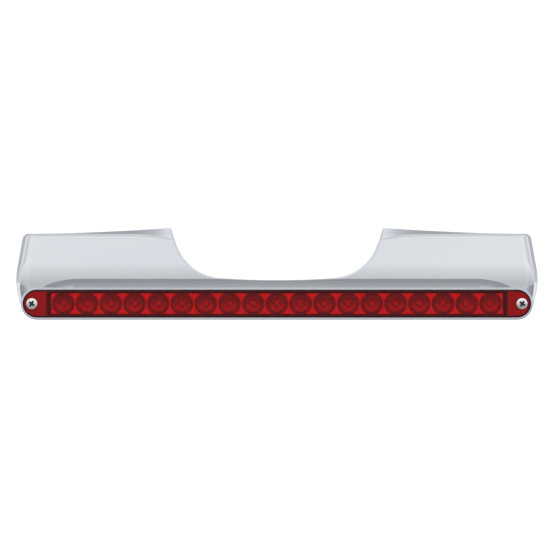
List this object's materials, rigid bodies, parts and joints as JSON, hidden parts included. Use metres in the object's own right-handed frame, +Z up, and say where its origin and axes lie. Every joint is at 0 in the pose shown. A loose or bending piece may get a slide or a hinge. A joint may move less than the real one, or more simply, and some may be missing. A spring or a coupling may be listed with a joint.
{
  "type": "third brake light",
  "caption": "Wide LED third brake light: red stadium-shaped lens in a chromed winged housing with a U-shaped notch and a rear mounting bracket.",
  "frame": {"origin": "centre of the two mounting holes, on the rear face of the mounting bracket, which is level with the middle of the lens", "axes": "+X across the vehicle along the lens, +Y into the vehicle, +Z up; the lens faces -Y"},
  "size_m": [0.4486, 0.0517, 0.0795],
  "materials": {
    "chrome_plate": "mirror chrome over zinc die casting",
    "red_lens": "clear red moulded acrylic",
    "black_rubber": "moulded rubber",
    "black_foam": "closed-cell foam",
    "grey_plastic": "moulded plastic",
    "reflector_metal": "metallised plastic",
    "board_green": "fibreglass board with solder mask",
    "component_black": "moulded",
    "tinned_brass": "tinned",
    "led_clear": "water-clear encapsulation",
    "zinc_steel": "zinc plated",
    "stainless_steel": "polished stainless"
  },
  "bodies": {
    "root": {"housing": "chrome_plate", "housing_grommet": "black_rubber", "lamp_lens": "red_lens", "lens_seal": "black_rubber", "lamp_base": "grey_plastic", "lamp_grommet": "black_rubber", "lamp_gasket": "black_foam", "reflector": "reflector_metal", "circuit_board": "board_green", "resistors": "component_black", "diode": "component_black", "wire_terminals": "tinned_brass", "board_screws": "zinc_steel", "lamp_screws": "stainless_steel", "mounting_bracket": "zinc_steel", "bracket_screws": "zinc_steel", "bracket_washers": "zinc_steel", "led_01": "led_clear", "led_02": "led_clear", "led_03": "led_clear", "led_04": "led_clear", "led_05": "led_clear", "led_06": "led_clear", "led_07": "led_clear", "led_08": "led_clear", "led_09": "led_clear", "led_10": "led_clear", "led_11": "led_clear", "led_12": "led_clear", "led_13": "led_clear", "led_14": "led_clear", "led_15": "led_clear", "led_16": "led_clear", "led_17": "led_clear", "led_18": "led_clear", "led_19": "led_clear"}
  },
  "joints": []
}
